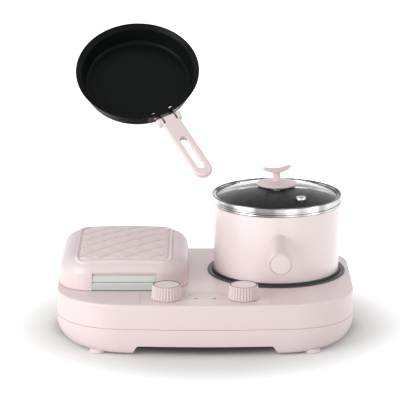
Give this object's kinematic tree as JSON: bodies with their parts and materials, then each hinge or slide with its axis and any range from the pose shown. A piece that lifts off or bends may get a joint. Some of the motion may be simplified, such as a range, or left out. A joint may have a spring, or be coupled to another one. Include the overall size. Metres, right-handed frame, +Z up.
{
  "type": "breakfast maker",
  "caption": "Pink countertop breakfast maker with a quilted sandwich press, a boiling pot with a glass lid, fluted knobs and a small frying pan.",
  "frame": {"origin": "on the table, under the middle of the base", "axes": "+Z up, +X to the right of the user, -Y towards the user"},
  "size_m": [0.4, 0.289, 0.4102],
  "materials": {
    "pink_housing": "satin",
    "pink_rubber_foot": "matte",
    "steel_screw": "satin",
    "pink_panel": "satin",
    "dark_lens": "gloss",
    "inner_plastic": "matte",
    "dark_ring": "satin",
    "hotplate_metal": "matte",
    "element_steel": "satin",
    "tub_metal": "satin",
    "nonstick_plate": "satin",
    "steel_bracket": "satin",
    "pink_lid": "satin",
    "pink_quilt": "satin",
    "latch_silver": "satin",
    "pink_knob": "satin",
    "pink_knob_cap": "satin",
    "pink_pot": "gloss",
    "polished_steel": "polished",
    "spreader_metal": "satin",
    "pink_handle": "satin",
    "pink_handle_cap": "satin",
    "clear_glass": "clear",
    "vent_steel": "polished",
    "pink_lid_knob": "satin",
    "seal_rubber": "matte",
    "nonstick_pan": "satin",
    "pan_bracket_steel": "satin",
    "pink_pan_handle": "satin"
  },
  "bodies": {
    "base": {"lower_housing": "pink_housing", "upper_housing": "pink_housing", "base_feet": "pink_rubber_foot", "base_screws": "steel_screw", "control_panel": "pink_panel", "indicator_lenses": "dark_lens", "timer_unit": "inner_plastic", "heat_switch_unit": "inner_plastic", "heater_well": "dark_ring", "hotplate": "hotplate_metal", "hotplate_element": "element_steel", "hotplate_thermostat": "element_steel", "lower_grill_tub": "tub_metal", "lower_grill_plate": "nonstick_plate", "lower_grill_element": "element_steel", "lower_grill_thermostat": "element_steel", "hinge_bracket": "steel_bracket", "hinge_pin": "steel_screw", "latch_catch": "steel_bracket", "cord_gland": "inner_plastic", "terminal_block": "inner_plastic"},
    "sandwich_lid": {"lid_shell": "pink_lid", "lid_quilt_panel": "pink_quilt", "lid_liner": "tub_metal", "upper_grill_plate": "nonstick_plate", "upper_grill_element": "element_steel", "lid_grip_bar": "latch_silver", "latch_pin": "steel_screw"},
    "latch": {"latch_flap": "latch_silver"},
    "timer_dial": {"timer_knob": "pink_knob", "timer_knob_cap": "pink_knob_cap", "timer_shaft": "steel_screw"},
    "heat_dial": {"heat_knob": "pink_knob", "heat_knob_cap": "pink_knob_cap", "heat_shaft": "steel_screw"},
    "pot": {"pot_shell": "pink_pot", "pot_liner": "polished_steel", "pot_base_disc": "spreader_metal", "pot_handle": "pink_handle", "pot_handle_cap": "pink_handle_cap", "pot_handle_screw": "steel_screw"},
    "pot_lid": {"lid_glass_rim": "polished_steel", "lid_glass": "clear_glass", "steam_vent": "vent_steel", "lid_knob_disc": "pink_lid_knob", "lid_knob": "pink_lid_knob", "lid_knob_washer": "seal_rubber", "lid_knob_screw": "steel_screw"},
    "frying_pan": {"pan_shell": "nonstick_pan", "pan_bracket": "pan_bracket_steel", "pan_rivets": "steel_screw", "pan_hinge_pin": "steel_screw"},
    "pan_grip": {"pan_handle": "pink_pan_handle"}
  },
  "joints": [
    {"name": "sandwich_lid_hinge", "type": "hinge", "parent": "base", "child": "sandwich_lid", "pos_m": [-0.10975, 0.125, 0.085], "axis": [-1, 0, 0], "range_deg": [0, 100]},
    {"name": "latch_swing", "type": "hinge", "parent": "sandwich_lid", "child": "latch", "pos_m": [-0.1086, -0.0721, 0.0805], "axis": [-1, 0, 0], "range_deg": [0, 50]},
    {"name": "timer_knob_turn", "type": "hinge", "parent": "base", "child": "timer_dial", "pos_m": [-0.051, -0.108, 0.08], "axis": [0, 0, -1], "range_deg": [0, 300]},
    {"name": "heat_knob_turn", "type": "hinge", "parent": "base", "child": "heat_dial", "pos_m": [0.051, -0.108, 0.08], "axis": [0, 0, -1], "range_deg": [0, 270]},
    {"name": "pot_lift", "type": "slide", "parent": "base", "child": "pot", "axis": [0, 0, 1], "range_m": [0, 0.15]},
    {"name": "pot_lid_lift", "type": "slide", "parent": "pot", "child": "pot_lid", "axis": [0, 0, 1], "range_m": [0, 0.08]},
    {"name": "pan_lift", "type": "slide", "parent": "base", "child": "frying_pan", "axis": [0, 0, 1], "range_m": [0, 0.1]},
    {"name": "pan_handle_fold", "type": "hinge", "parent": "frying_pan", "child": "pan_grip", "pos_m": [-0.04736, -0.05895, 0.30245], "axis": [-0.8813, -0.3641, -0.3012], "range_deg": [0, 100]}
  ]
}
